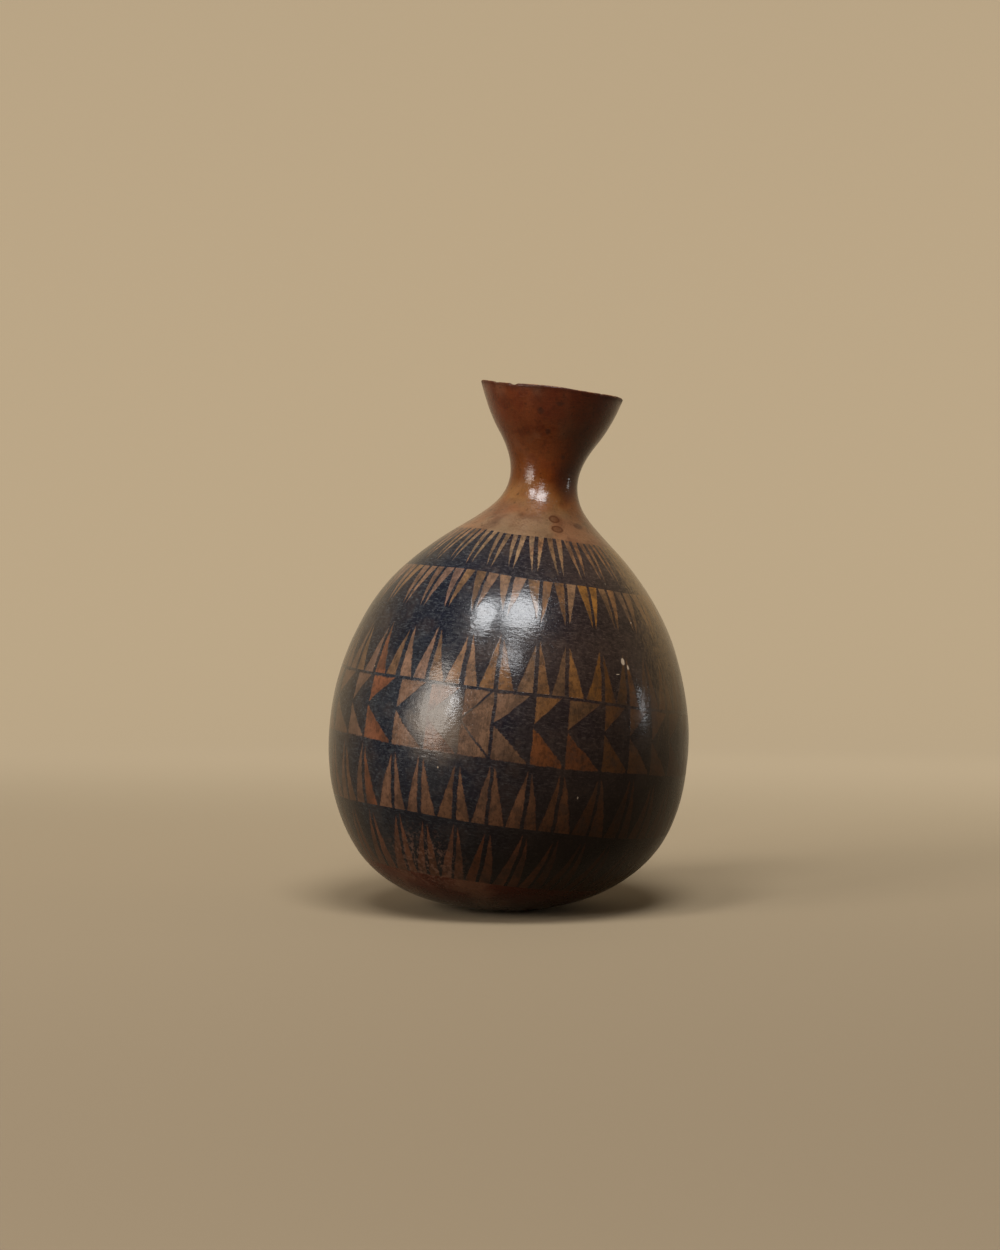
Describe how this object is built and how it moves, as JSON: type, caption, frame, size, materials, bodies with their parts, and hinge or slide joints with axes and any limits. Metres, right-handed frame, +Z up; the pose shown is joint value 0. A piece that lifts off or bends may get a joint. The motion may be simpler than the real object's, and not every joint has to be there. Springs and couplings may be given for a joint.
{
  "type": "dried bottle gourd",
  "caption": "Dried bottle gourd with a round bowl, a narrow neck and a flared open mouth, smoked and incised with bands of small triangles; stands on a small flat spot.",
  "frame": {"origin": "on the surface the gourd stands on, under the middle of its outline seen from above", "axes": "+Z up, -Y towards the pictured front, and the neck leans a few degrees to +X"},
  "size_m": [0.2214, 0.2212, 0.325],
  "materials": {
    "gourd_rind": "smoked and hand-burnished rind: red-brown neck, tan shoulder, black ground with scraped brown triangles, satin to glossy"
  },
  "bodies": {
    "root": {"gourd_shell": "gourd_rind"}
  },
  "joints": []
}
